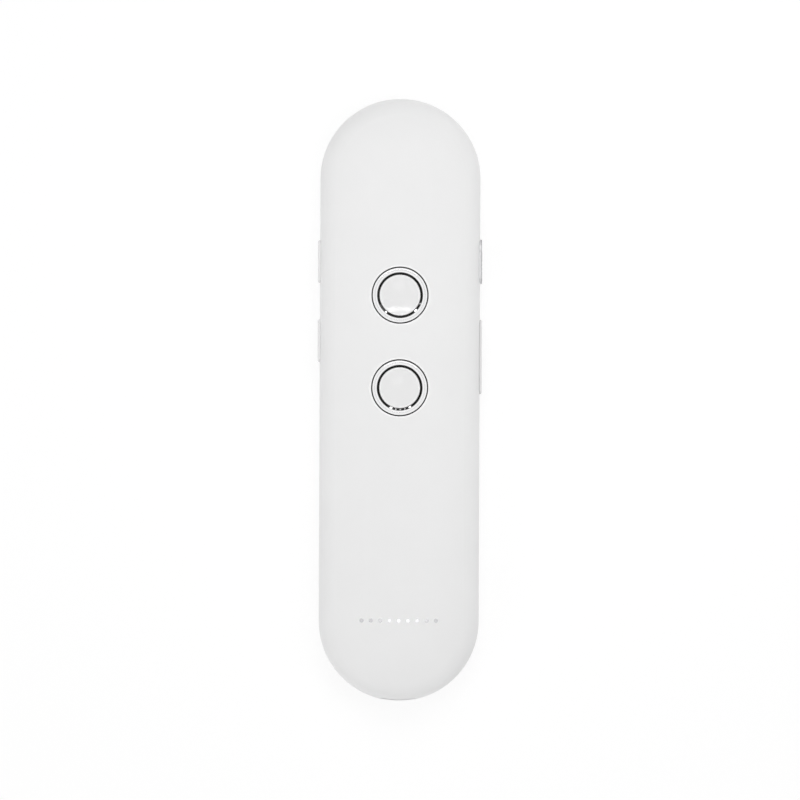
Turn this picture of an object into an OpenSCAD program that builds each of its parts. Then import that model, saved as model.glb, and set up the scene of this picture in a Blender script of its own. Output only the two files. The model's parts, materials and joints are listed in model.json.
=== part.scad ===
// Handheld voice translator: a slim stadium-shaped clamshell with two round push buttons on its front,
// two small push buttons on its left edge, a slide switch and a volume rocker on its right edge.
// It lies on its flat back. +Z points out of the front, +Y to the end nearest the buttons, and the
// origin is the middle of the back.

/* [Housing] */
// Overall length
body_l = 143; // [130:1:160]
// Overall width, without the side keys
body_w = 38; // [36:0.5:44]
// Overall thickness
body_t = 12; // [11.4:0.1:15]
// Height of the parting line above the back, and radius of the back edge
seam_z = 5; // [4.6:0.1:5.6]
// Radius of the front edge
edge_r = 5.5; // [4.9:0.1:6.3]
// Half the width of the nearly flat field down the front
field_half = 5.8; // [3:0.1:8]
// Rise of that field at the centreline
crown_rise = 0.15; // [0.05:0.05:0.4]
// Wall of both shells
wall = 1.6; // [1.3:0.1:1.9]
// Height of the tongue that locates the shells
lip_h = 1.0; // [0.6:0.1:1.4]
// Width of the groove that marks the parting line
seam_groove = 0.2; // [0.1:0.05:0.4]
// Length of each snap bead on the tongue
snap_l = 6; // [3:0.5:8]

/* [Front buttons] */
// Distance from the top end to the middle of the upper button
upper_drop = 46.65; // [40:0.05:49]
// Distance between the middles of the two buttons
button_pitch = 21.95; // [19:0.05:28]
// Outer radius of the bright bezel
bezel_r = 6.5; // [6.3:0.1:7.4]
// Bore of the bezel, that the button slides in
bezel_bore = 5.45; // [5:0.05:5.8]
// Radius of the white button cap above its dark ring
cap_r = 4.85; // [4.2:0.05:4.95]
// Depth of the dish in the cap
dish_depth = 0.25; // [0.1:0.05:0.35]
// Travel of a front button
front_travel = 0.35; // [0.2:0.05:0.4]

/* [Side keys] */
// Height of every side key
key_h = 2.8; // [2.2:0.1:3]
// How far a side key stands out of the housing
key_proud = 0.5; // [0.3:0.1:0.8]
// Length of each left button
key_l = 10.1; // [8:0.1:12]
// Distance from the top end to the middle of the upper left button
left_upper_drop = 38.7; // [35.5:0.1:41.5]
// Distance from the top end to the middle of the lower left button
left_lower_drop = 57.5; // [54.5:0.1:60.5]
// Travel of a left button
key_travel = 0.3; // [0.15:0.05:0.35]

/* [Power slide] */
// Distance from the top end to the middle of the slot
slide_drop = 38.6; // [35.5:0.1:40.5]
// Length of the surround
slide_l = 10.5; // [9:0.1:12]
// Wall of the surround
slide_wall = 0.35; // [0.25:0.05:0.5]
// Travel of the knob
slide_travel = 2.4; // [1.5:0.1:3]

/* [Volume rocker] */
// Distance from the top end to its pivot
rocker_drop = 61.2; // [58.5:0.1:63.5]
// Length of the rocker
rocker_l = 17.6; // [14:0.1:20]
// Distance from the pivot to each switch
rocker_arm = 5.5; // [4:0.1:6.5]
// Tilt to each side, in degrees
rocker_tilt = 1.8; // [1:0.1:2]

/* [Inside] */
// Height of the board's underside above the parting line
board_lift = 1.7; // [1.5:0.1:2]
// Thickness of the main board
board_t = 1.0; // [0.6:0.1:1.2]
// Distance from the bottom end to the battery
battery_drop = 14; // [13:0.5:18]
// Length of the battery
battery_l = 55; // [40:1:56]
// Width of the battery
battery_w = 26; // [20:1:28]
// Thickness of the battery
battery_t = 4; // [3:0.1:4.2]
// Thickness of the foam pad under the battery
pad_t = 0.4; // [0.2:0.1:0.5]
// Radius of the loudspeaker
speaker_r = 10; // [7:0.5:11]
// Height of the loudspeaker
speaker_t = 3.9; // [3:0.1:4]
// Distance from the top end to the middle of the loudspeaker
speaker_drop = 25.5; // [23.5:0.5:27.5]
// Length of the grille across the back
grille_l = 21; // [14:0.5:22]
// Width of the grille
grille_w = 7.6; // [5:0.1:9]
// Radius of each hole in the grille
hole_r = 0.45; // [0.3:0.05:0.55]
// Spacing of the holes
hole_pitch = 1.5; // [1.3:0.1:2]
// Width of the charging socket
usb_w = 7.5; // [7:0.1:9]
// Height of the charging socket
usb_h = 2.5; // [2:0.1:2.8]
// Depth of the charging socket
usb_l = 5.5; // [4.5:0.1:6.5]
// Radius of the microphone capsule
mic_r = 1.5; // [1.2:0.1:1.7]
// Direction of the microphone round the bottom end, in degrees from the middle
mic_angle = 30; // [26:1:45]

/* [Hidden] */
$fn = 96;

// Clearances
eps = 0.01;
core_inset = 0.05;   // of the section's core from its surface
over = 1;            // how far a cutting shape runs past what it cuts
slip = 0.05;         // between pieces of one body that slip together
run = 0.1;           // running gap beside a moving key
well_gap = 0.3;      // open line round each bezel
lip_gap = 0.05;      // beside and above the tongue
rocker_gap = 0.2;    // at the ends of the rocker
board_gap = 0.4;     // round the main board
touch_gap = 0.05;    // between the rocker and its plungers

// Housing section
half_w = body_w / 2;
end_y = body_l / 2 - half_w;
inner_rise = body_t - seam_z - crown_rise;
edge_x = half_w - edge_r;
shoulder_run = edge_x - field_half;
shoulder_r = (pow(shoulder_run, 2) + pow(inner_rise, 2) - pow(edge_r, 2)) / (2 * (inner_rise - edge_r));
shoulder_z = seam_z + inner_rise - shoulder_r;
crown_r = pow(field_half, 2) / (2 * crown_rise) + shoulder_r + crown_rise / 2;
crown_z = body_t - crown_r;
back_x = half_w - seam_z;
snap_r = 0.2;
snap_pitch = 17;

// Places along the housing
top_end = body_l / 2;
upper_y = top_end - upper_drop;
lower_y = upper_y - button_pitch;
left_upper_y = top_end - left_upper_drop;
left_lower_y = top_end - left_lower_drop;
slide_y = top_end - slide_drop;
rocker_y = top_end - rocker_drop;
speaker_y = top_end - speaker_drop;
battery_y = -top_end + battery_drop + battery_l / 2;

// Front buttons
well_r = bezel_r + well_gap;
flange_t = 0.9;                      // bezel flange below the front surface
tape_t = 0.1;
seat_z = body_t - flange_t - tape_t; // floor of the well
neck_wall = 0.6;
neck_r = bezel_bore + neck_wall;
neck_bottom = body_t - wall - slip;
bezel_proud = 0.1;
bevel_w = 0.35;                      // bevel round the bore of the bezel
bezel_groove = 0.07;                 // half the width, and the depth, of the line beside it
ring_gap = 0.03;
ring_r = bezel_bore - run;
ring_slope = 25;                     // of the dark ring's face, down to the cap
cap_top = body_t + bezel_proud;
ring_seat = cap_top - 0.9;
cap_flange_t = 0.5;
cap_flange_r = bezel_bore + 0.4;
cap_flange_top = neck_bottom - run;
cap_round = 0.3;
dish_rim = 0.45;                     // width of the raised rim round the dish

// Board and front switches
board_z = seam_z + board_lift;
board_top = board_z + board_t;
board_half = edge_x + sqrt(pow(edge_r - wall, 2) - pow(board_top - seam_z, 2)) - board_gap;
switch_w = 4.6;
switch_h = 0.9;
plunger_r = 1.1;
plunger_sunk = 0.25;                 // part of a plunger inside its switch at rest
plunger_h = plunger_sunk + front_travel + run;
plunger_top = board_top + switch_h + plunger_h - plunger_sunk;
stem_r = 1.5;
screw_r = 0.7;
screw_head_r = 1.3;
screw_head_h = 0.6;
screw_bite = 1;                      // depth of each screw in its boss
screw_ring = board_half - 3.9;       // end screws, about the middle of each round end
screw_angle = 42;
boss_r = 1.7;

// Side keys
key_face = half_w + key_proud;
key_round = 0.35;
key_flange_x = half_w - wall - 0.5;
key_flange_t = 0.6;
key_back = key_flange_x - key_flange_t;
key_flange_over = 1;
side_switch = [2.4, 4.6, 2.3];
side_switch_x = key_back - 0.7;      // outer face of a side switch
side_plunger_r = 0.6;
side_plunger_l = 1.35;
side_plunger_z = board_z - side_switch[2] / 2;

// Power slide
surround_face = key_face - 0.1;
surround_back = key_flange_x + run;
surround_h = key_h + 2 * slide_wall;
knob_l = slide_l - 2 * slide_wall - slide_travel - 2 * run;
knob_h = key_h - 2 * run;
knob_rest_y = slide_y - slide_travel / 2;
plate_over = 0.3;                    // cover left at each end of the slot
knob_plate = [0.7, knob_l + 2 * (slide_travel + run + plate_over), key_h + 0.3];
lever_w = 1.2;
slide_switch_size = [2.6, 8.8, 2.4];
slide_switch_x = key_back - 0.8;
lever_back = slide_switch_x - 1.3;

// Middle screws stand clear of the side switches.
screw_x = side_switch_x - side_switch[0] - screw_head_r - 2.7;
SCREWS = [for (sx = [-1, 1]) each [
    [sx * screw_ring * cos(screw_angle), end_y + screw_ring * sin(screw_angle)],
    [sx * screw_x, (upper_y + lower_y) / 2],
    [sx * screw_ring * cos(screw_angle), -end_y - screw_ring * sin(screw_angle)]
]];

// Volume rocker
opening_depth = wall + 0.5;
pivot_r = 0.6;
pivot_x = half_w - opening_depth - run - pivot_r;
rocker_back = half_w - wall - 0.1;
rocker_pad_x = key_back;
rocker_plunger_x = rocker_pad_x - touch_gap;
rocker_travel = rocker_arm * tan(rocker_tilt);

// Bottom end
usb_z = board_z - usb_h / 2;
usb_mouth = top_end - 0.6;
usb_wall = 0.25;
usb_gap = 0.3;
mic_z = seam_z - 0.6;
mic_l = 1.5;
mic_hole_r = 0.4;
boot_wall = 0.4;
boot_lip = 0.3;
nose_r = 0.9;
mic_face = half_w - wall - 1.6;
nose_tip = half_w - wall - 0.45;

// Back
grille_t = 0.5;
grille_ledge = 0.8;
gasket_t = 0.5;
speaker_z = wall + gasket_t;
magnet_r = speaker_r * 0.55;
cone_room = 1.4;                     // from the basket's face to the magnet

battery_z = wall + pad_t;
rail_w = 0.8;
battery_end = battery_y + battery_l / 2;
pcm_t = 1.6;
pcm = [battery_w - 4 * rail_w, pcm_t, battery_t * 0.6];
lead_r = 0.4;
lead_pitch = 1.2;
lead_l = 3.5;
lead_x = 4;
lead_z = battery_z + battery_t - 0.9;
plug = [3.4, 3, 2];
plug_y = battery_end + pcm[1] + lead_l;

// Components on the board: corner, measured from the middle of the upper button, and size
chip_h = 0.9;
CHIPS = [
    [[-5, -45], [9, 9]],
    [[-3, -63], [6, 8]],
    [[1, -75], [5, 4]],
    [[-7, 9], [5, 5]]
];
can = [13, 12, 1.7];
can_wall = 0.2;
aerial = [9, 3, 1];
aerial_inset = 2.5;

// ---------- shared shapes ----------

// A solid of stadium plan along Y, from the right half of its cross-section.
module stadium_solid(straight) {
    rotate([90, 0, 0])
        linear_extrude(height = straight, center = true) {
            children();
            mirror([1, 0]) children();
        }
    for (turn = [0, 180])
        rotate([0, 0, turn])
            translate([0, straight / 2, 0])
                rotate_extrude(angle = 180) children();
}

// The same, standing on the right side of the housing: its height points to +X.
module side_solid(l, h, y) {
    translate([0, y, seam_z])
        rotate([0, 90, 0])
            stadium_solid(l - h) children();
}

// Half a rectangle with its outer upper corner rounded.
module rounded_half(half, low, high, r) {
    translate([0, low]) square([half, high - low - r]);
    translate([0, low]) square([half - r, high - low]);
    translate([half - r, high - r]) circle(r);
}

module rounded_rect(size, r) {
    square([size[0] - 2 * r, size[1]], center = true);
    square([size[0], size[1] - 2 * r], center = true);
    for (sx = [-1, 1], sy = [-1, 1])
        translate([sx * (size[0] / 2 - r), sy * (size[1] / 2 - r)]) circle(r);
}

// A point on the line from a to b, at height z.
function on_line(a, b, z) = [a[0] + (b[0] - a[0]) * (z - a[1]) / (b[1] - a[1]), z];

// A point at distance r past b, on the line from a to b.
function beyond(a, b, r) = b + (b - a) * r / norm(b - a);

// Right half of the housing's section, inset by d: crown, shoulder and edge arcs, flat back.
module half_section(d) {
    top = body_t + over;
    crown_c = [0, crown_z];
    shoulder_c = [field_half, shoulder_z];
    edge_c = [edge_x, seam_z];
    crown_low = on_line(crown_c, shoulder_c, d);
    crown_high = on_line(crown_c, shoulder_c, top);
    edge_high = on_line(shoulder_c, edge_c, top);
    intersection() {
        translate(crown_c) circle(crown_r - d);
        polygon([[0, d], crown_low, crown_high, [0, top]]);
    }
    intersection() {
        translate(shoulder_c) circle(shoulder_r - d);
        polygon([crown_low, [back_x, d], [back_x, seam_z], edge_c, edge_high, crown_high]);
    }
    intersection() {
        translate(edge_c) circle(edge_r - d);
        polygon([edge_c, edge_high, [half_w + over, top], [half_w + over, seam_z]]);
    }
    intersection() {
        translate([back_x, seam_z]) circle(seam_z - d);
        translate([back_x, 0]) square([half_w, seam_z]);
    }
    // core under all four, which otherwise only meet edge to edge
    polygon([
        [0, d],
        [0, body_t - 2 * crown_rise - d],
        beyond(crown_c, shoulder_c, shoulder_r - d - core_inset),
        beyond(shoulder_c, edge_c, edge_r - d - core_inset),
        [half_w - d - core_inset, seam_z],
        [back_x + (seam_z - d - core_inset) * cos(45), seam_z - (seam_z - d - core_inset) * sin(45)],
        [back_x, d]
    ]);
}

module housing(d) {
    stadium_solid(2 * end_y) half_section(d);
}

// Snap beads along the straight part of the tongue, clear of the side keys.
module snap_beads(r, l) {
    for (s = [-1, 1], y = [speaker_y, lower_y - snap_pitch, lower_y - 2 * snap_pitch])
        translate([s * (half_w - wall / 2 - lip_gap), y, seam_z + lip_h * 0.6])
            rotate([90, 0, 0]) cylinder(r = r, h = l, center = true);
}

// Everything between two heights.
module slab(z0, z1) {
    translate([-body_w, -body_l, z0]) cube([2 * body_w, 2 * body_l, z1 - z0]);
}

module seam_cut() {
    stadium_solid(2 * end_y)
        polygon([
            [half_w - seam_groove, seam_z],
            [half_w + over, seam_z - seam_groove / 2 - over * 0.5],
            [half_w + over, seam_z + seam_groove / 2 + over * 0.5]
        ]);
}

// Openings through both shells: side keys, charging socket.
module side_openings() {
    depth = opening_depth;
    mirror([1, 0, 0])
        for (y = [left_upper_y, left_lower_y])
            side_solid(key_l + 2 * run, key_h + 2 * run, y)
                translate([0, half_w - depth]) square([key_h / 2 + run, depth + over]);
    side_solid(slide_l + 2 * slip, surround_h + 2 * slip, slide_y)
        translate([0, half_w - depth]) square([surround_h / 2 + slip, depth + over]);
    side_solid(rocker_l + 2 * rocker_gap, key_h + 2 * run, rocker_y)
        translate([0, half_w - depth]) square([key_h / 2 + run, depth + over]);
    translate([0, -body_l / 2 + wall + 2 * over, usb_z])
        rotate([90, 0, 0])
            linear_extrude(height = wall + 4 * over)
                rounded_rect([usb_w + 2 * usb_gap, usb_h + 2 * usb_gap], 0.9);
}

// ---------- shells ----------

module front_shell() {
    color("white")
        difference() {
            union() {
                difference() {
                    housing(0);
                    housing(wall);
                }
                intersection() {
                    housing(wall / 2);
                    for (p = SCREWS)
                        translate([p[0], p[1], board_top]) cylinder(r = boss_r, h = body_t);
                }
            }
            slab(-over, seam_z);
            intersection() {
                housing(wall / 2);
                slab(seam_z - over, seam_z + lip_h + lip_gap);
            }
            snap_beads(snap_r + lip_gap, snap_l + 2 * lip_gap);
            seam_cut();
            side_openings();
            for (y = [upper_y, lower_y]) translate([0, y, 0]) {
                translate([0, 0, seat_z]) cylinder(r = well_r, h = body_t);
                translate([0, 0, board_top]) cylinder(r = neck_r + slip, h = body_t);
            }
            for (p = SCREWS)
                translate([p[0], p[1], board_top - over])
                    cylinder(r = screw_r + eps, h = over + body_t - wall - crown_rise - board_top);
        }
}

module rear_shell() {
    color("white")
        difference() {
            union() {
                difference() {
                    housing(0);
                    housing(wall);
                    slab(seam_z, body_t + over);
                }
                // tongue
                intersection() {
                    difference() {
                        housing(wall / 2 + lip_gap);
                        housing(wall);
                    }
                    slab(seam_z - wall, seam_z + lip_h);
                }
                snap_beads(snap_r, snap_l);
                // rocker pivot
                translate([pivot_x, rocker_y, wall])
                    cylinder(r = pivot_r, h = board_z - wall - 0.3);
                // speaker collar
                translate([0, speaker_y, wall / 2])
                    difference() {
                        cylinder(r = speaker_r + slip + 0.8, h = wall / 2 + gasket_t + 1);
                        translate([0, 0, -over]) cylinder(r = speaker_r + slip, h = body_t);
                    }
                battery_rails();
            }
            seam_cut();
            side_openings();
            translate([0, speaker_y, 0]) {
                translate([0, 0, -over])
                    grille_plan(over + grille_t + slip, grille_l + 2 * slip, grille_w + 2 * slip);
                translate([0, 0, -over])
                    grille_plan(wall + 2 * over, grille_l - 2 * grille_ledge, grille_w - 2 * grille_ledge);
            }
            mic_place(mic_face) cylinder(r = mic_hole_r, h = body_l);
        }
}

module battery_rails() {
    rail_h = battery_t * 0.6 + pad_t;
    for (s = [-1, 1]) {
        translate([s * (battery_w / 2 + slip + rail_w / 2), battery_y, wall / 2 + rail_h / 2])
            cube([rail_w, battery_l * 0.7, rail_h + wall / 2], center = true);
        translate([0, battery_y + s * (battery_l / 2 + slip + rail_w / 2), wall / 2])
            translate([-battery_w / 4, -rail_w / 2, 0])
                cube([battery_w / 2, rail_w, wall / 2 + pad_t + 1]);
    }
}

// ---------- front buttons ----------

module bezel(y) {
    outer_round = 0.3;
    top = body_t + bezel_proud;
    bevel_r = bezel_bore + bevel_w;
    color("gainsboro")
        translate([0, y, 0])
            rotate_extrude()
                difference() {
                    union() {
                        rounded_half(bezel_r, seat_z + tape_t, top, outer_round);
                        translate([0, neck_bottom]) square([neck_r, body_t - neck_bottom]);
                    }
                    translate([0, neck_bottom - over]) square([bezel_bore, body_t]);
                    // bevel
                    polygon([
                        [bezel_bore - over, top - (bevel_w + over) / 2],
                        [bevel_r, top],
                        [bezel_bore - over, top + over]
                    ]);
                    // engraved line
                    translate([bevel_r + bezel_groove, top]) circle(bezel_groove);
                }
}

module upper_bezel() { bezel(upper_y); }
module lower_bezel() { bezel(lower_y); }

module bezel_tape() {
    color("black")
        for (y = [upper_y, lower_y])
            translate([0, y, seat_z])
                difference() {
                    cylinder(r = well_r - slip, h = tape_t);
                    translate([0, 0, -over]) cylinder(r = neck_r + slip, h = body_t);
                }
}

module button_cap(y) {
    dish_half = cap_r - dish_rim;
    dish_r = (pow(dish_half, 2) + pow(dish_depth, 2)) / (2 * dish_depth);
    flange_low = cap_flange_top - cap_flange_t;
    color("whitesmoke")
        translate([0, y, 0])
            rotate_extrude()
                difference() {
                    union() {
                        rounded_half(cap_r, flange_low, cap_top, cap_round);
                        translate([0, flange_low]) square([ring_r, ring_seat - flange_low]);
                        translate([0, flange_low]) square([cap_flange_r, cap_flange_t]);
                        translate([0, plunger_top]) square([stem_r, cap_top - 1 - plunger_top]);
                    }
                    translate([0, cap_top - dish_depth + dish_r]) circle(dish_r);
                    // hollow skirt round the stem
                    translate([stem_r, flange_low - over])
                        square([cap_r - 0.8 - stem_r, ring_seat - flange_low + over - 0.6]);
                }
}

module upper_button() { button_cap(upper_y); }
module lower_button() { button_cap(lower_y); }

module button_ring(y) {
    inner = cap_r + ring_gap;
    ring_top = cap_top - 0.1;
    color("dimgray")
        translate([0, y, 0])
            rotate_extrude()
                polygon([
                    [inner, ring_seat],
                    [ring_r, ring_seat],
                    [ring_r, ring_top],
                    [inner, ring_top - (ring_r - inner) * tan(ring_slope)]
                ]);
}

module upper_button_ring() { button_ring(upper_y); }
module lower_button_ring() { button_ring(lower_y); }

module front_switch(y) {
    color("silver")
        translate([0, y, board_top])
            difference() {
                linear_extrude(height = switch_h) rounded_rect([switch_w, switch_w], 0.4);
                translate([0, 0, switch_h - plunger_sunk - front_travel - slip])
                    cylinder(r = plunger_r + run, h = body_t);
            }
}

module upper_switch() { front_switch(upper_y); }
module lower_switch() { front_switch(lower_y); }

module front_plunger(y) {
    color("black")
        translate([0, y, plunger_top - plunger_h]) cylinder(r = plunger_r, h = plunger_h);
}

module upper_switch_plunger() { front_plunger(upper_y); }
module lower_switch_plunger() { front_plunger(lower_y); }

// ---------- left keys ----------

module left_button(y) {
    color("whitesmoke")
        mirror([1, 0, 0]) {
            side_solid(key_l, key_h, y)
                rounded_half(key_h / 2, key_back, key_face, key_round);
            side_solid(key_l + 2 * key_flange_over, key_h, y)
                translate([0, key_back]) square([key_h / 2, key_flange_t]);
        }
}

module left_upper_button() { left_button(left_upper_y); }
module left_lower_button() { left_button(left_lower_y); }

// A side-pushed switch on the underside of the board, with its plunger's bore open to +X.
module side_switch_at(y, travel) {
    bore_l = side_plunger_l - (key_back - side_switch_x) + travel + run;
    translate([side_switch_x - side_switch[0], y - side_switch[1] / 2, board_z - side_switch[2]])
        difference() {
            cube(side_switch);
            translate([side_switch[0] - bore_l, side_switch[1] / 2, side_switch[2] / 2])
                rotate([0, 90, 0]) cylinder(r = side_plunger_r + run, h = bore_l + over);
        }
}

module left_switches() {
    color("silver")
        mirror([1, 0, 0])
            for (y = [left_upper_y, left_lower_y])
                side_switch_at(y, key_travel);
}

module side_plunger(x, y) {
    color("black")
        translate([x - side_plunger_l, y, side_plunger_z])
            rotate([0, 90, 0]) cylinder(r = side_plunger_r, h = side_plunger_l);
}

module left_upper_plunger() { mirror([1, 0, 0]) side_plunger(key_back, left_upper_y); }
module left_lower_plunger() { mirror([1, 0, 0]) side_plunger(key_back, left_lower_y); }

// ---------- power slide ----------

module power_surround() {
    mark_r = 0.1;
    color("lightgray")
        difference() {
            side_solid(slide_l, surround_h, slide_y)
                translate([surround_h / 2 - slide_wall, surround_back])
                    square([slide_wall, surround_face - surround_back]);
            // index lines, level with the knob's end when it is off
            for (s = [-1, 1])
                translate([half_w - edge_r, knob_rest_y + knob_l / 2, seam_z + s * surround_h / 2])
                    rotate([0, 90, 0]) cylinder(r = mark_r, h = edge_r + over);
        }
}

module power_knob() {
    grip_pitch = 1;
    grip_r = 0.22;
    color("whitesmoke")
        difference() {
            union() {
                side_solid(knob_l, knob_h, knob_rest_y)
                    rounded_half(knob_h / 2, key_flange_x - knob_plate[0], key_face, key_round);
                translate([key_flange_x - knob_plate[0], knob_rest_y - knob_plate[1] / 2,
                        seam_z - knob_plate[2] / 2])
                    cube(knob_plate);
            }
            // finger grooves
            for (i = [-1, 0, 1])
                translate([key_face, knob_rest_y + i * grip_pitch, seam_z])
                    cylinder(r = grip_r, h = key_h, center = true);
            // pocket for the lever
            translate([key_flange_x - knob_plate[0] - over, knob_rest_y - lever_w / 2 - slip,
                    side_plunger_z - lever_w / 2 - slip])
                cube([over + 0.6, lever_w + 2 * slip, lever_w + 2 * slip]);
        }
}

module slide_switch() {
    window = slide_travel + lever_w + 2 * run;
    color("silver")
        translate([slide_switch_x - slide_switch_size[0], slide_y - slide_switch_size[1] / 2,
                board_z - slide_switch_size[2]])
            difference() {
                cube(slide_switch_size);
                translate([slide_switch_size[0] - (slide_switch_x - lever_back) - run,
                        (slide_switch_size[1] - window) / 2,
                        side_plunger_z - lever_w / 2 - run - board_z + slide_switch_size[2]])
                    cube([slide_switch_size[0], window, lever_w + 2 * run]);
            }
}

module slide_switch_lever() {
    tip = key_flange_x - knob_plate[0] + 0.55;
    color("black")
        translate([lever_back, knob_rest_y - lever_w / 2, side_plunger_z - lever_w / 2])
            cube([tip - lever_back, lever_w, lever_w]);
}

// ---------- volume rocker ----------

module volume_rocker() {
    lug = [2.0, 2.6, 1.9];
    pad = [rocker_back - rocker_pad_x + eps, 2, key_h - 2 * (side_plunger_z - seam_z)];
    color("whitesmoke")
        difference() {
            union() {
                side_solid(rocker_l, key_h, rocker_y)
                    rounded_half(key_h / 2, rocker_back, key_face, key_round);
                translate([pivot_x - lug[0] / 2, rocker_y - lug[1] / 2, seam_z - lug[2] / 2])
                    cube([rocker_back + eps - pivot_x + lug[0] / 2, lug[1], lug[2]]);
                for (s = [-1, 1])
                    translate([rocker_pad_x, rocker_y + s * rocker_arm - pad[1] / 2,
                            side_plunger_z - pad[2] / 2])
                        cube(pad);
            }
            translate([pivot_x, rocker_y, 0]) cylinder(r = pivot_r + slip, h = body_t);
        }
}

module rocker_switches() {
    color("silver")
        for (s = [-1, 1])
            side_switch_at(rocker_y + s * rocker_arm, rocker_travel + touch_gap);
}

module rocker_upper_plunger() { side_plunger(rocker_plunger_x, rocker_y + rocker_arm); }
module rocker_lower_plunger() { side_plunger(rocker_plunger_x, rocker_y - rocker_arm); }

// ---------- bottom end ----------

module usb_outline(d) {
    w = usb_w / 2 - d;
    h = usb_h / 2 - d;
    slope = 0.8;
    polygon([[-w, h], [w, h], [w, -h + slope], [w - slope, -h], [-w + slope, -h], [-w, -h + slope]]);
}

module usb_socket() {
    back_t = 0.4;
    color("silver")
        translate([0, -usb_mouth + usb_l, usb_z])
            rotate([90, 0, 0])
                difference() {
                    linear_extrude(height = usb_l) usb_outline(0);
                    translate([0, 0, back_t]) linear_extrude(height = usb_l) usb_outline(usb_wall);
                }
}

module usb_tongue() {
    tongue_w = usb_w * 0.52;
    tongue_t = 0.6;
    root_l = 1.2;
    inner_l = usb_l - 0.4;
    color("black")
        translate([0, -usb_mouth + inner_l, usb_z])
            rotate([90, 0, 0]) {
                linear_extrude(height = root_l) usb_outline(usb_wall + eps);
                translate([-tongue_w / 2, 0, 0]) cube([tongue_w, tongue_t, inner_l - 0.8]);
            }
}

// Radial place round the bottom end, with +Z pointing out through the wall.
module mic_place(r) {
    translate([0, -end_y, mic_z])
        rotate([0, 0, mic_angle - 90])
            translate([r, 0, 0])
                rotate([0, 90, 0]) children();
}

module microphone() {
    color("silver")
        mic_place(mic_face - mic_l) cylinder(r = mic_r, h = mic_l);
}

module microphone_boot() {
    color("black")
        mic_place(mic_face - mic_l)
            difference() {
                union() {
                    cylinder(r = mic_r + boot_wall, h = mic_l + boot_lip);
                    cylinder(r = nose_r, h = nose_tip - mic_face + mic_l);
                }
                translate([0, 0, -over]) cylinder(r = mic_r + eps, h = mic_l + over);
                cylinder(r = mic_hole_r, h = body_t);
            }
}

// ---------- loudspeaker ----------

module grille_plan(h, l, w) {
    linear_extrude(height = h) {
        square([l - w, w], center = true);
        for (s = [-1, 1]) translate([s * (l - w) / 2, 0]) circle(d = w);
    }
}

module speaker_grille() {
    row_h = hole_pitch * sqrt(3) / 2;
    field_r = grille_w / 2 - grille_ledge - hole_r;
    field_l = (grille_l - grille_w) / 2;
    rows = floor(field_r / row_h);
    cols = ceil(grille_l / hole_pitch / 2);
    color("gray")
        translate([0, speaker_y, slip])
            difference() {
                grille_plan(grille_t, grille_l, grille_w);
                for (i = [-rows:rows], j = [-cols:cols]) {
                    x = (j + (i % 2 == 0 ? 0 : 0.5)) * hole_pitch;
                    y = i * row_h;
                    past = max(abs(x) - field_l, 0);
                    if (norm([past, y]) <= field_r)
                        translate([x, y, -over]) cylinder(r = hole_r, h = 3 * over);
                }
            }
}

module speaker_gasket() {
    color("black")
        translate([0, speaker_y, wall])
            difference() {
                cylinder(r = speaker_r, h = gasket_t);
                translate([0, 0, -over]) cylinder(r = speaker_r - 1.2, h = body_t);
            }
}

module speaker_basket() {
    rim_t = 0.7;
    can_r = speaker_r - 0.9;
    can_t = speaker_t * 0.6;
    color("dimgray")
        translate([0, speaker_y, speaker_z])
            rotate_extrude()
                difference() {
                    union() {
                        square([speaker_r, rim_t]);
                        square([can_r, can_t]);
                    }
                    translate([0, -over]) square([can_r - 0.8, can_t + over - 0.5]);
                    translate([0, -over]) square([magnet_r + slip, body_t]);
                }
}

module speaker_cone() {
    outer = speaker_r - 1.7 - slip;
    cone_t = 0.3;
    dome_r = magnet_r;
    color("black")
        translate([0, speaker_y, speaker_z])
            rotate_extrude() {
                polygon([
                    [dome_r - 1, 0.9], [outer, 0.2], [outer, 0.2 + cone_t], [dome_r - 1, 0.9 + cone_t]
                ]);
                translate([0, 0.9]) square([dome_r - 0.9, cone_t]);
            }
}

module speaker_magnet() {
    color("silver")
        translate([0, speaker_y, speaker_z + cone_room])
            cylinder(r = magnet_r, h = speaker_t - cone_room);
}

// ---------- battery ----------

module battery() {
    color("silver")
        translate([0, battery_y + battery_l / 2, battery_z + battery_t / 2])
            rotate([90, 0, 0])
                linear_extrude(height = battery_l)
                    rounded_rect([battery_w, battery_t], 1);
}

module battery_pad() {
    inset = 3;
    color("dimgray")
        translate([0, battery_y, wall + pad_t / 2])
            cube([battery_w - 2 * inset, battery_l - 2 * inset, pad_t], center = true);
}

module protection_board() {
    color("gold")
        translate([-pcm[0] / 2, battery_end, battery_z + battery_t - pcm[2]])
            cube(pcm);
}

module battery_lead() {
    color("firebrick")
        for (s = [-1, 1])
            translate([lead_x + s * lead_pitch / 2, plug_y, lead_z])
                rotate([90, 0, 0]) cylinder(r = lead_r, h = lead_l);
}

module battery_plug() {
    color("ivory")
        translate([lead_x - plug[0] / 2, plug_y, board_z - plug[2]])
            cube(plug);
}

// ---------- main board ----------

module main_board() {
    color("darkgreen")
        difference() {
            stadium_solid(2 * end_y)
                translate([0, board_z]) square([board_half, board_t]);
            for (p = SCREWS)
                translate([p[0], p[1], 0]) cylinder(r = screw_r + run, h = body_t);
        }
}

module board_screws() {
    color("gray")
        for (p = SCREWS)
            translate([p[0], p[1], board_z]) {
                translate([0, 0, -screw_head_h]) cylinder(r = screw_head_r, h = screw_head_h);
                cylinder(r = screw_r, h = board_t + screw_bite);
            }
}

module shield_can() {
    color("lightgray")
        translate([-can[0] / 2, upper_y - can[1] / 2, board_z - can[2]])
            difference() {
                cube(can);
                translate([can_wall, can_wall, can_wall])
                    cube([can[0] - 2 * can_wall, can[1] - 2 * can_wall, can[2]]);
            }
}

module chips() {
    color("black")
        for (c = CHIPS)
            translate([c[0][0], upper_y + c[0][1], board_top]) cube([c[1][0], c[1][1], chip_h]);
}

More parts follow.
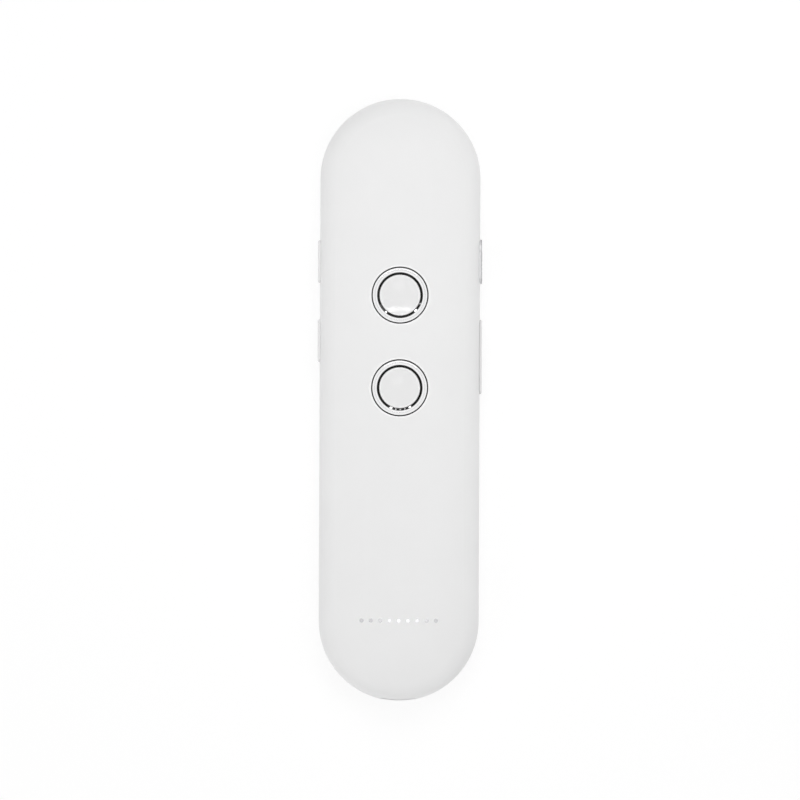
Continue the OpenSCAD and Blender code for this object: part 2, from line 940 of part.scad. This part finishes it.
module antenna() {
    color("khaki")
        translate([-aerial[0] / 2, end_y + board_half - aerial_inset - aerial[1], board_top]) cube(aerial);
}

front_shell();
rear_shell();
upper_bezel();
lower_bezel();
bezel_tape();
upper_button();
lower_button();
upper_button_ring();
lower_button_ring();
upper_switch();
lower_switch();
upper_switch_plunger();
lower_switch_plunger();
left_upper_button();
left_lower_button();
left_switches();
left_upper_plunger();
left_lower_plunger();
power_knob();
power_surround();
slide_switch();
slide_switch_lever();
volume_rocker();
rocker_switches();
rocker_upper_plunger();
rocker_lower_plunger();
usb_socket();
usb_tongue();
microphone();
microphone_boot();
speaker_grille();
speaker_gasket();
speaker_basket();
speaker_cone();
speaker_magnet();
battery();
battery_pad();
protection_board();
battery_lead();
battery_plug();
main_board();
board_screws();
shield_can();
chips();
antenna();
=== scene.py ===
"""Looks of the handheld translator: materials, foil dots, socket contacts, studio and camera."""

import json
import math

import bmesh
import bpy
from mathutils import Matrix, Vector


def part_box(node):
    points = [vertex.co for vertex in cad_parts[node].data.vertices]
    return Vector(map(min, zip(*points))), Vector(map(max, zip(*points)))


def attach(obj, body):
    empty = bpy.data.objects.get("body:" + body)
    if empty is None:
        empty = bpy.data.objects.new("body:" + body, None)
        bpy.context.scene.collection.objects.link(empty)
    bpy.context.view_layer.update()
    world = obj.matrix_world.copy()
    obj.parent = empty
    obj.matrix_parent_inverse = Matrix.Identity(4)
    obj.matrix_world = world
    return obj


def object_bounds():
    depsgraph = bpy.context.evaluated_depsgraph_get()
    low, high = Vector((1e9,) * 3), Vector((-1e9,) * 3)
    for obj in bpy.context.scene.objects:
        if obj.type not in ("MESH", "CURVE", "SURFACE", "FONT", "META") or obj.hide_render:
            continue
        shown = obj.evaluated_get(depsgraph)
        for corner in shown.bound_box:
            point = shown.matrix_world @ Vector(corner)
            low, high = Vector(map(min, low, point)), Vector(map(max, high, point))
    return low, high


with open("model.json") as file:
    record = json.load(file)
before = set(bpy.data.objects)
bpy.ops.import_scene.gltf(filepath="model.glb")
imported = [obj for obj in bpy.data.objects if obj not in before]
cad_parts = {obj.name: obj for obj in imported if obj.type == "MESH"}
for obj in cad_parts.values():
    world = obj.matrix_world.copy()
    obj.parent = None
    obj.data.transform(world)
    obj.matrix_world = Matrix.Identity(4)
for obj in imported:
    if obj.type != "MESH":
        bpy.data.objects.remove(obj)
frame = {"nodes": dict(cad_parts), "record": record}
cad_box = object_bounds()

MM = 0.001

# ---------------------------------------------------------------- materials


class Recipe:
    """A node material under construction."""

    def __init__(self, name):
        self.material = bpy.data.materials.new(name)
        self.material.use_nodes = True
        self.tree = self.material.node_tree
        self.shader = self.tree.nodes["Principled BSDF"]
        self.place = self.tree.nodes.new("ShaderNodeTexCoord").outputs["Object"]

    def node(self, kind, **settings):
        made = self.tree.nodes.new("ShaderNode" + kind)
        for key, value in settings.items():
            setattr(made, key, value)
        return made

    def link(self, source, target):
        self.tree.links.new(source, target)

    def set(self, **values):
        for key, value in values.items():
            self.shader.inputs[key.replace("_", " ")].default_value = value

    def noise(self, size, detail=2.0, stretch=(1, 1, 1)):
        """Noise whose features measure about size metres."""
        made = self.node("TexNoise")
        made.inputs["Scale"].default_value = 1 / size
        made.inputs["Detail"].default_value = detail
        squeeze = self.node("Mapping")
        squeeze.inputs["Scale"].default_value = stretch
        self.link(self.place, squeeze.inputs["Vector"])
        self.link(squeeze.outputs["Vector"], made.inputs["Vector"])
        return made.outputs["Fac"]

    def spread(self, value, low, high):
        """A 0 to 1 value mapped onto low to high."""
        made = self.node("MapRange")
        made.inputs["To Min"].default_value = low
        made.inputs["To Max"].default_value = high
        self.link(value, made.inputs["Value"])
        return made.outputs["Result"]

    def ramped(self, value, start, end):
        """0 at start, 1 at end, clamped."""
        made = self.node("MapRange")
        made.inputs["From Min"].default_value = start
        made.inputs["From Max"].default_value = end
        self.link(value, made.inputs["Value"])
        return made.outputs["Result"]

    def moved(self, centre):
        """Coordinates measured from centre."""
        shift = self.node("Mapping")
        shift.inputs["Location"].default_value = [-c for c in centre]
        self.link(self.place, shift.inputs["Vector"])
        return shift.outputs["Vector"]

    def away(self, centre):
        """Distance from the upright axis through centre."""
        flat = self.node("VectorMath", operation="MULTIPLY")
        flat.inputs[1].default_value = (1, 1, 0)
        self.link(self.moved(centre), flat.inputs[0])
        length = self.node("VectorMath", operation="LENGTH")
        self.link(flat.outputs["Vector"], length.inputs[0])
        return length.outputs["Value"]

    def rightward(self):
        """Distance to the right of the middle plane."""
        parts = self.node("SeparateXYZ")
        self.link(self.place, parts.inputs["Vector"])
        return parts.outputs["X"]

    def colour(self, value, dark, light):
        made = self.node("ValToRGB")
        made.color_ramp.elements[0].position = 0.3
        made.color_ramp.elements[1].position = 0.7
        made.color_ramp.elements[0].color = (*dark, 1)
        made.color_ramp.elements[1].color = (*light, 1)
        self.link(value, made.inputs["Fac"])
        self.link(made.outputs["Color"], self.shader.inputs["Base Color"])

    def band(self, centre, plain, full, other):
        """Blends the base colour towards another: not at all at the distance plain, all of it at full.

        The distance is from the upright axis through centre, or rightward where centre is None.
        """
        distance = self.rightward() if centre is None else self.away(centre)
        before = self.shader.inputs["Base Color"]
        mix = self.node("MixRGB")
        self.link(self.ramped(distance, plain, full), mix.inputs["Fac"])
        self.link(before.links[0].from_socket, mix.inputs["Color1"])
        mix.inputs["Color2"].default_value = (*other, 1)
        self.link(mix.outputs["Color"], before)

    def rough(self, value, low, high):
        self.link(self.spread(value, low, high), self.shader.inputs["Roughness"])

    def bump(self, height, depth):
        made = self.node("Bump")
        made.inputs["Distance"].default_value = depth
        self.link(height, made.inputs["Height"])
        self.link(made.outputs["Normal"], self.shader.inputs["Normal"])

    def turning_marks(self, centre):
        """Fine circles round centre, as a lathe leaves them."""
        lines = self.node("TexWave", wave_type="RINGS", rings_direction="Z")
        lines.inputs["Scale"].default_value = 2 * math.pi / TURNING_PITCH / RING_PHASE
        lines.inputs["Distortion"].default_value = 0.4
        self.link(self.moved(centre), lines.inputs["Vector"])
        self.bump(lines.outputs["Fac"], TURNING_DEPTH)


TURNING_PITCH = 1.131 * MM
TURNING_DEPTH = 0.002 * MM
RING_PHASE = 20    # radians that Blender's rings go through in one unit at scale 1


def shade(base, change):
    return tuple(max(0.0, min(1.0, c + change)) for c in base)


def moulded(name, base, rough, grain, depth, tone=0.006, coat=0.0, bands=()):
    """Moulded plastic: even colour with a faint drift, fine spark-eroded grain."""
    made = Recipe(name)
    made.set(IOR=1.35, Coat_Weight=coat, Coat_Roughness=0.05)
    made.colour(made.noise(12 * MM, 3), shade(base, -tone), shade(base, tone))
    for band in bands:
        made.band(*band)
    made.rough(made.noise(6 * MM, 4), rough - 0.03, rough + 0.03)
    made.bump(made.noise(grain), depth)
    return made.material


def polished(name, base, rough, centre=None):
    """Plated metal, with faint turning marks round its centre if it has one."""
    made = Recipe(name)
    made.set(Metallic=1.0)
    made.colour(made.noise(3 * MM), shade(base, -0.012), shade(base, 0.012))
    made.rough(made.noise(1.2 * MM, 4), rough * 0.8, rough * 1.3)
    if centre is not None:
        made.turning_marks(centre)
    return made.material


def banded(name, edge, band, radii, rough, centre):
    """Polished ring with a finely turned, slightly darker band between two radii on its face."""
    made = Recipe(name)
    made.set(Metallic=1.0)
    ramp = made.node("ValToRGB")
    ramp.color_ramp.elements[0].color = (*edge, 1)
    ramp.color_ramp.elements[1].color = (*edge, 1)
    for place in (0.25, 0.75):
        ramp.color_ramp.elements.new(place).color = (*band, 1)
    made.link(made.ramped(made.away(centre), *radii), ramp.inputs["Fac"])
    made.link(ramp.outputs["Color"], made.shader.inputs["Base Color"])
    made.rough(made.noise(1.2 * MM, 4), rough * 0.8, rough * 1.3)
    made.turning_marks(centre)
    return made.material


def brushed(name, base, rough, stretch=(1, 14, 1), bands=()):
    """Sheet metal with a brushed or rolled direction."""
    made = Recipe(name)
    made.set(Metallic=1.0)
    lines = made.noise(0.35 * MM, 3, stretch)
    made.colour(lines, shade(base, -0.03), shade(base, 0.03))
    for band in bands:
        made.band(*band)
    made.rough(lines, rough - 0.05, rough + 0.08)
    made.bump(lines, 0.003 * MM)
    return made.material


def soft_black(name, base, rough):
    """Rubber, foam or paper pulp."""
    made = Recipe(name)
    made.colour(made.noise(2 * MM, 3), shade(base, -0.006), shade(base, 0.01))
    made.rough(made.noise(0.8 * MM, 3), rough - 0.06, rough + 0.06)
    made.bump(made.noise(0.15 * MM, 3), 0.02 * MM)
    return made.material


def foil(name, base, rough):
    """Crinkled laminate or tape."""
    made = Recipe(name)
    made.set(Metallic=0.7)
    made.colour(made.noise(5 * MM, 4), shade(base, -0.03), shade(base, 0.03))
    made.rough(made.noise(2 * MM, 3), rough - 0.08, rough + 0.1)
    made.bump(made.noise(4 * MM, 5), 0.08 * MM)
    return made.material


def board(name):
    """Solder mask over copper tracks."""
    made = Recipe(name)
    tracks = made.node("TexBrick")
    tracks.inputs["Scale"].default_value = 1 / (6 * MM)
    tracks.inputs["Mortar Size"].default_value = 0.06
    tracks.inputs["Color1"].default_value = (0.01, 0.14, 0.06, 1)
    tracks.inputs["Color2"].default_value = (0.012, 0.17, 0.075, 1)
    tracks.inputs["Mortar"].default_value = (0.03, 0.28, 0.13, 1)
    made.link(made.place, tracks.inputs["Vector"])
    made.link(tracks.outputs["Color"], made.shader.inputs["Base Color"])
    made.rough(made.noise(3 * MM, 3), 0.25, 0.4)
    made.bump(tracks.outputs["Fac"], 0.02 * MM)
    return made.material


def middle(node):
    low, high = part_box(node)
    return (low + high) / 2


def radius(node):
    low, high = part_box(node)
    return (high[0] - low[0]) / 2


def right_face(node):
    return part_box(node)[1][0]


def white_plastic(name, bands=()):
    return moulded(name, (0.865, 0.865, 0.865), 0.5, 0.22 * MM, 0.004 * MM, bands=bands)


def white_key(name, bands=()):
    return moulded(name, (0.82, 0.82, 0.82), 0.4, 0.16 * MM, 0.002 * MM, coat=1.0, bands=bands)


BEZEL_CENTRES = {side: middle(side + "_bezel") for side in ("upper", "lower")}
BEZEL_R = radius("upper_bezel")
CAP_R = 4.85 * MM
HALF_WIDTH = right_face("front_shell")
SURROUND_FACE = right_face("power_surround")

# The darker band on a bezel's face: its inner and outer radius
BEZEL_BAND = (BEZEL_R - 0.75 * MM, BEZEL_R - 0.25 * MM)

# Bands of painted highlight or shade for Recipe.band, without their centre: where they start, where they
# are full, and their colour.
# The shell's edge round a bezel, lighter: a painted highlight
WELL_RIM_HIGHLIGHT = (BEZEL_R + 0.8 * MM, BEZEL_R + 0.55 * MM, (0.97, 0.97, 0.97))
# The raised rim of a button cap, lighter: a painted highlight
CAP_RIM_HIGHLIGHT = (CAP_R - 0.5 * MM, CAP_R - 0.25 * MM, (0.93, 0.93, 0.93))
# The outside of the slide's surround, darker: painted shade along its outer edge
SURROUND_EDGE_SHADE = (SURROUND_FACE - 0.14 * MM, SURROUND_FACE - 0.1 * MM, (0.27, 0.27, 0.28))
# The rocker's foot beside the shell, darker: painted shade of the gap
ROCKER_GAP_SHADE = (HALF_WIDTH + 0.14 * MM, HALF_WIDTH + 0.1 * MM, (0.63, 0.63, 0.63))

SLOT_MATERIALS = {
    "shell_white": white_plastic("shell_white"),
    "key_white": white_key("key_white"),
    # The surround darker at its outer edge: painted shade
    "surround_satin": brushed("surround_satin", (0.64, 0.64, 0.65), 0.38, (14, 1, 14),
                              bands=[(None, *SURROUND_EDGE_SHADE)]),
    "grille_metal": brushed("grille_metal", (0.6, 0.6, 0.61), 0.32),
    "steel": brushed("steel", (0.66, 0.66, 0.67), 0.3),
    "black_plastic": moulded("black_plastic", (0.02, 0.02, 0.021), 0.45, 0.2 * MM, 0.006 * MM, 0.004),
    "black_rubber": soft_black("black_rubber", (0.018, 0.018, 0.018), 0.7),
    "cone_paper": soft_black("cone_paper", (0.03, 0.03, 0.032), 0.8),
    "battery_foil": foil("battery_foil", (0.62, 0.63, 0.64), 0.3),
    "tape_yellow": foil("tape_yellow", (0.72, 0.48, 0.08), 0.35),
    "lead_red": moulded("lead_red", (0.6, 0.03, 0.03), 0.4, 0.2 * MM, 0.003 * MM),
    "plug_white": moulded("plug_white", (0.82, 0.79, 0.7), 0.42, 0.2 * MM, 0.004 * MM),
    "board_green": board("board_green"),
    "ceramic_tan": moulded("ceramic_tan", (0.66, 0.6, 0.48), 0.5, 0.1 * MM, 0.004 * MM),
}
NODE_MATERIALS = {
    # The shell lighter round each bezel: painted highlight
    "front_shell": white_plastic("front_shell", [(centre, *WELL_RIM_HIGHLIGHT) for centre in BEZEL_CENTRES.values()]),
    # The rocker darker next to the shell: painted shade of the gap
    "volume_rocker": white_key("volume_rocker", [(None, *ROCKER_GAP_SHADE)]),
}
for side, centre in BEZEL_CENTRES.items():
    NODE_MATERIALS |= {
        side + "_bezel": banded(side + "_bezel", (0.93, 0.93, 0.935), (0.8, 0.8, 0.805), BEZEL_BAND, 0.08,
                                centre),
        # Each cap lighter at its rim: painted highlight
        side + "_button": white_key(side + "_button", [(centre, *CAP_RIM_HIGHLIGHT)]),
        side + "_button_ring": polished(side + "_ring", (0.022, 0.022, 0.022), 0.07, centre),
    }

for part in frame["record"]["subparts"]:
    name = part["node"]
    material = NODE_MATERIALS.get(name) or SLOT_MATERIALS[part["material_slot"]]
    mesh = frame["nodes"][name].data
    mesh.materials.clear()
    mesh.materials.append(material)

# ---------------------------------------------------------------- pieces the CAD leaves plain


def finish_piece(name, made, material, body, smooth=True):
    """Turns a bmesh into an object of the scene that rides on a body."""
    mesh = bpy.data.meshes.new(name)
    made.to_mesh(mesh)
    made.free()
    mesh.materials.append(material)
    for face in mesh.polygons:
        face.use_smooth = smooth
    piece = bpy.data.objects.new(name, mesh)
    bpy.context.scene.collection.objects.link(piece)
    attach(piece, body)


# The front's section: a flat crown arc, then a shoulder arc down to the rounded edge
FRONT_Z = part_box("front_shell")[1][2]
SEAM_Z = middle("volume_rocker")[2]
EDGE_R = 5.5 * MM
CROWN_RISE = 0.15 * MM
CROWN_HALF = 5.8 * MM

INNER_RISE = FRONT_Z - SEAM_Z - CROWN_RISE
SHOULDER_RUN = HALF_WIDTH - EDGE_R - CROWN_HALF
SHOULDER_R = (SHOULDER_RUN ** 2 + INNER_RISE ** 2 - EDGE_R ** 2) / (2 * (INNER_RISE - EDGE_R))
CROWN_R = CROWN_HALF ** 2 / (2 * CROWN_RISE) + SHOULDER_R + CROWN_RISE / 2
ARCS_MEET = CROWN_HALF * CROWN_R / (CROWN_R - SHOULDER_R)


def front_height(x):
    """Height of the straight front's surface over x."""
    x = abs(x)
    if x < ARCS_MEET:
        return FRONT_Z - CROWN_R + math.sqrt(CROWN_R ** 2 - x ** 2)
    return SEAM_Z + INNER_RISE - SHOULDER_R + math.sqrt(SHOULDER_R ** 2 - (x - CROWN_HALF) ** 2)


# A row of foil dots on the lower front
DOT_COUNT = 9
DOT_RADIUS = 0.5 * MM
DOT_PITCH = 2.2 * MM
DOT_ROW_Y = -52.3 * MM
DOT_THICK = 0.02 * MM
DOT_SEGMENTS = 32
# Radius as a share of the dot's, and height above the shell as a share of its thickness
DOT_PROFILE = ((0.5, 1.0), (0.87, 1.0), (0.92, 1.0), (0.97, 0.7), (1.0, -1.0))


def foil_dots():
    made = bmesh.new()

    def vertex(x, y, lift):
        return made.verts.new((x, y, front_height(x) + lift * DOT_THICK))

    for i in range(DOT_COUNT):
        centre_x = (i - (DOT_COUNT - 1) / 2) * DOT_PITCH
        top = vertex(centre_x, DOT_ROW_Y, 1)
        rings = []
        for share, lift in DOT_PROFILE:
            ring = []
            for k in range(DOT_SEGMENTS):
                angle = 2 * math.pi * k / DOT_SEGMENTS
                ring.append(vertex(centre_x + share * DOT_RADIUS * math.cos(angle),
                                   DOT_ROW_Y + share * DOT_RADIUS * math.sin(angle), lift))
            rings.append(ring)
        for k in range(DOT_SEGMENTS):
            after = (k + 1) % DOT_SEGMENTS
            made.faces.new((top, rings[0][k], rings[0][after]))
            for inner, outer in zip(rings, rings[1:]):
                made.faces.new((inner[k], outer[k], outer[after], inner[after]))
    silver = polished("foil_silver", (0.62, 0.62, 0.63), 0.12)
    finish_piece("foil_dots", made, silver, "housing")


# Gold contacts under the tongue of the charging socket
CONTACT_COUNT = 5
CONTACT_W = 0.4 * MM
CONTACT_PITCH = 0.65 * MM
CONTACT_T = 0.03 * MM
CONTACT_REACH = (0.35 * MM, 2.6 * MM)   # from and to, behind the tongue's front
CONTACT_NOSE = 0.12 * MM                # length of the front end, which turns up into the tongue


def usb_contacts():
    tongue_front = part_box("usb_tongue")[0][1]
    tongue_under = middle("usb_tongue")[2]
    z0, z1 = tongue_under - CONTACT_T, tongue_under + CONTACT_T
    y0, y1 = (tongue_front + reach for reach in CONTACT_REACH)
    outline = ((y1, z1), (y1, z0), (y0 + CONTACT_NOSE, z0), (y0, z1))
    made = bmesh.new()
    for i in range(CONTACT_COUNT):
        centre_x = (i - (CONTACT_COUNT - 1) / 2) * CONTACT_PITCH
        left = [made.verts.new((centre_x - CONTACT_W / 2, y, z)) for y, z in outline]
        right = [made.verts.new((centre_x + CONTACT_W / 2, y, z)) for y, z in outline]
        made.faces.new(left)
        made.faces.new(right[::-1])
        for k in range(len(outline)):
            after = (k + 1) % len(outline)
            made.faces.new((left[after], left[k], right[k], right[after]))
    bmesh.ops.recalc_face_normals(made, faces=made.faces)
    gold = polished("contact_gold", (0.83, 0.6, 0.22), 0.18)
    finish_piece("usb_contacts", made, gold, "housing", smooth=False)


foil_dots()
usb_contacts()

# ---------------------------------------------------------------- studio

FLOOR_SIZE = 3.0
FLOOR_DROP = 0.02 * MM
# The camera sees the floor glow white: a share of what it sees near the object, and all of it far away.
FLOOR_GLOW = 1.06
FLOOR_GLOW_SHARE = 0.75
FLOOR_FADE = (0.14, 0.5)    # from and to, away from the origin
FLOOR_LIFT = 0.12           # glow that the object sees


def floor_and_backdrop():
    bpy.ops.mesh.primitive_plane_add(size=FLOOR_SIZE, location=(0, 0, -FLOOR_DROP))
    floor = bpy.context.object
    floor.name = "floor"
    made = Recipe("floor")
    made.set(Base_Color=(0.9, 0.9, 0.9, 1), Roughness=0.9)
    surface = made.shader.outputs["BSDF"]

    def glow(strength):
        emission = made.node("Emission")
        emission.inputs["Color"].default_value = (1, 1, 1, 1)
        emission.inputs["Strength"].default_value = strength
        return emission.outputs["Emission"]

    def mixed(share, first, second):
        mix = made.node("MixShader")
        made.link(share, mix.inputs["Fac"])
        made.link(first, mix.inputs[1])
        made.link(second, mix.inputs[2])
        return mix.outputs["Shader"]

    bounce = made.node("AddShader")
    made.link(surface, bounce.inputs[0])
    made.link(glow(FLOOR_LIFT), bounce.inputs[1])
    far = made.ramped(made.away((0, 0, 0)), *FLOOR_FADE)
    seen = mixed(made.spread(far, FLOOR_GLOW_SHARE, 1.0), surface, glow(FLOOR_GLOW))
    front = mixed(made.node("LightPath").outputs["Is Camera Ray"], bounce.outputs["Shader"], seen)
    clear = made.node("BsdfTransparent").outputs["BSDF"]
    shown = mixed(made.node("NewGeometry").outputs["Backfacing"], front, clear)
    made.link(shown, made.tree.nodes["Material Output"].inputs["Surface"])
    floor.data.materials.append(made.material)


def world_light(ambient):
    """White to the camera and in reflections, and the strength ambient as light."""
    world = bpy.data.worlds.new("studio")
    bpy.context.scene.world = world
    world.use_nodes = True
    tree = world.node_tree
    back = tree.nodes["Background"]
    back.inputs["Color"].default_value = (1, 1, 1, 1)
    paths = tree.nodes.new("ShaderNodeLightPath")
    seen = tree.nodes.new("ShaderNodeMath")
    seen.operation = "MAXIMUM"
    tree.links.new(paths.outputs["Is Camera Ray"], seen.inputs[0])
    tree.links.new(paths.outputs["Is Glossy Ray"], seen.inputs[1])
    level = tree.nodes.new("ShaderNodeMapRange")
    level.inputs["To Min"].default_value = ambient
    level.inputs["To Max"].default_value = 1.0
    tree.links.new(seen.outputs[0], level.inputs["Value"])
    tree.links.new(level.outputs["Result"], back.inputs["Strength"])


def softbox(name, place, size, power, mirrored=True, only=()):
    """Area lamp aimed at the origin.

    It shows in glossy surfaces if mirrored, and lights just the nodes in only, if any.
    """
    lamp = bpy.data.lights.new(name, "AREA")
    lamp.shape = "RECTANGLE"
    lamp.size, lamp.size_y = size
    lamp.energy = power
    holder = bpy.data.objects.new(name, lamp)
    holder.location = place
    holder.rotation_euler = (-Vector(place)).to_track_quat("-Z", "Y").to_euler()
    holder.visible_camera = False
    holder.visible_glossy = mirrored
    bpy.context.scene.collection.objects.link(holder)
    if only:
        lit = bpy.data.collections.new(name)
        for node in only:
            lit.objects.link(frame["nodes"][node])
        holder.light_linking.receiver_collection = lit


def mirrored_box(name, place, size, radiance, only=()):
    """Softbox that a polished surface shows as bright as radiance says."""
    width, height = size
    softbox(name, place, size, radiance * math.pi * width * height, only=only)


# Name, place, side of the square box in metres, power in watts
FILL_LAMPS = (
    ("north", (0.0, 0.65, 0.65), 0.5, 1.265),
    ("south", (0.0, -0.65, 0.65), 0.5, 0.654),
    ("east", (0.65, 0.0, 0.65), 0.5, 0.91),
    ("west", (-0.65, 0.0, 0.65), 0.5, 0.423),
    ("low_south_west", (-0.6, -0.6, 0.35), 0.5, 1.11),
    ("close_overhead", (0.03, 0.06, 0.2), 0.15, 0.0692),
)

# Small bright lamps that break each button's dark ring. The ring's face slopes 25 degrees, so that from
# above it mirrors what stands 40 degrees high on its far side. Azimuth in degrees, width, radiance.
GLINT_DISTANCE = 1.0
GLINT_ELEVATION = math.radians(40)
GLINT_HEIGHT = 0.1
RING_GLINTS = {
    "upper": ((134, 0.09, 120), (155, 0.03, 30), (38, 0.28, 5), (52, 0.05, 100)),
    "lower": ((67, 0.08, 120), (80, 0.03, 50), (92, 0.03, 50), (104, 0.03, 50), (118, 0.08, 120)),
}

# Boxes mirrored in the caps' dishes and in the foil dots: name, place, size, radiance
STRIP_LAMPS = (
    ("dish_line", (0.0, 0.088, 0.4), (0.14, 0.012), 5),
    ("dot_line", (0.016, -0.068, 0.9), (0.122, 0.06), 1.1),
    ("dish_glow", (0.0, 0.125, 0.4), (0.16, 0.06), 0.5),
)


def lamps():
    for name, place, side_length, power in FILL_LAMPS:
        softbox(name, place, (side_length, side_length), power, mirrored=False)
    flat = GLINT_DISTANCE * math.cos(GLINT_ELEVATION)
    height = GLINT_DISTANCE * math.sin(GLINT_ELEVATION)
    for button, glints in RING_GLINTS.items():
        for i, (azimuth, width, radiance) in enumerate(glints):
            place = (flat * math.cos(math.radians(azimuth)), flat * math.sin(math.radians(azimuth)), height)
            mirrored_box(f"{button}_glint_{i}", place, (width, GLINT_HEIGHT), radiance,
                         only=(button + "_button_ring",))
    for name, place, size, radiance in STRIP_LAMPS:
        mirrored_box(name, place, size, radiance)


# How the photograph frames the object: scale, side, middle of the body from the top left, and roll
PIXELS_PER_MM = 4.22
FRAME_PIXELS = 800
BODY_CENTRE_PX = (399.6, 400.0)
ROLL_DEGREES = -0.24
CAMERA_HEIGHT = 3.0
SENSOR_MM = 36


def camera():
    """Looks straight down on the front, from so far that it is almost parallel."""
    view = FRAME_PIXELS / PIXELS_PER_MM * MM
    eye = bpy.data.cameras.new("camera")
    eye.sensor_fit = "HORIZONTAL"
    eye.sensor_width = SENSOR_MM
    eye.lens = SENSOR_MM * (CAMERA_HEIGHT - cad_box[1][2]) / view
    eye.clip_end = 20
    holder = bpy.data.objects.new("camera", eye)
    shift_x = (FRAME_PIXELS / 2 - BODY_CENTRE_PX[0]) / PIXELS_PER_MM * MM
    shift_y = (BODY_CENTRE_PX[1] - FRAME_PIXELS / 2) / PIXELS_PER_MM * MM
    holder.location = (shift_x, shift_y, CAMERA_HEIGHT)
    holder.rotation_euler = (0, 0, -math.radians(ROLL_DEGREES))
    bpy.context.scene.collection.objects.link(holder)
    bpy.context.scene.camera = holder


floor_and_backdrop()
world_light(ambient=0.5)
lamps()
camera()
bpy.context.scene.view_settings.view_transform = "Standard"
